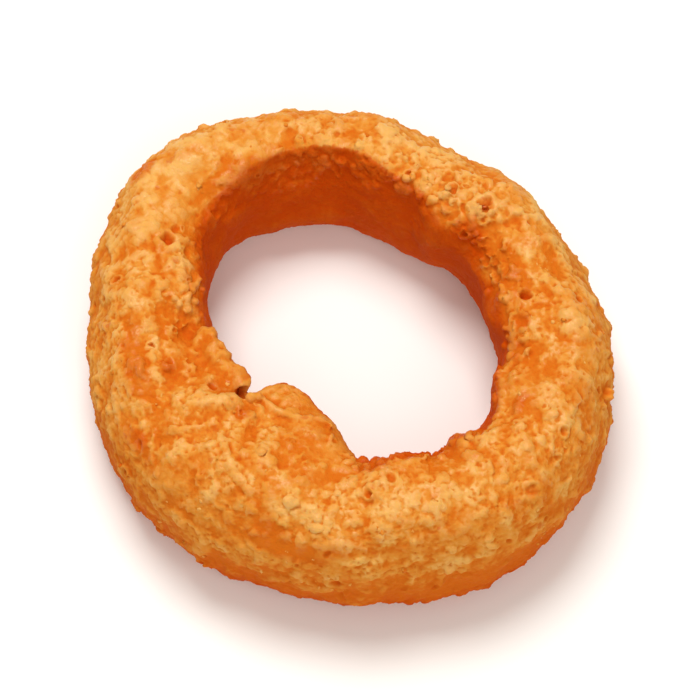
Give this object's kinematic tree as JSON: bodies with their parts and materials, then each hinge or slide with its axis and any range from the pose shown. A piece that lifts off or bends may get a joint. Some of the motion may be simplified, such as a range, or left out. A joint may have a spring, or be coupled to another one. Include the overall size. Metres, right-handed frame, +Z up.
{
  "type": "onion ring",
  "caption": "Battered and fried onion ring: a lumpy golden torus of crisp batter with a broken flap standing into its hole, lying flat on its pressed underside.",
  "frame": {"origin": "on the surface the ring lies on, under the middle of its bounding box", "axes": "+Z is up, along the axis of the hole; -Y is the near side, where the broad rim is, and the broken flap stands into the hole from -X -Y; +X is to the right"},
  "size_m": [0.057, 0.0564, 0.0183],
  "materials": {
    "fried_batter": "crisp golden-orange fried batter, rough and bubbly on top, smoother and browner on the sides, with a thin gloss of oil"
  },
  "bodies": {
    "root": {"onion_ring": "fried_batter"}
  },
  "joints": []
}
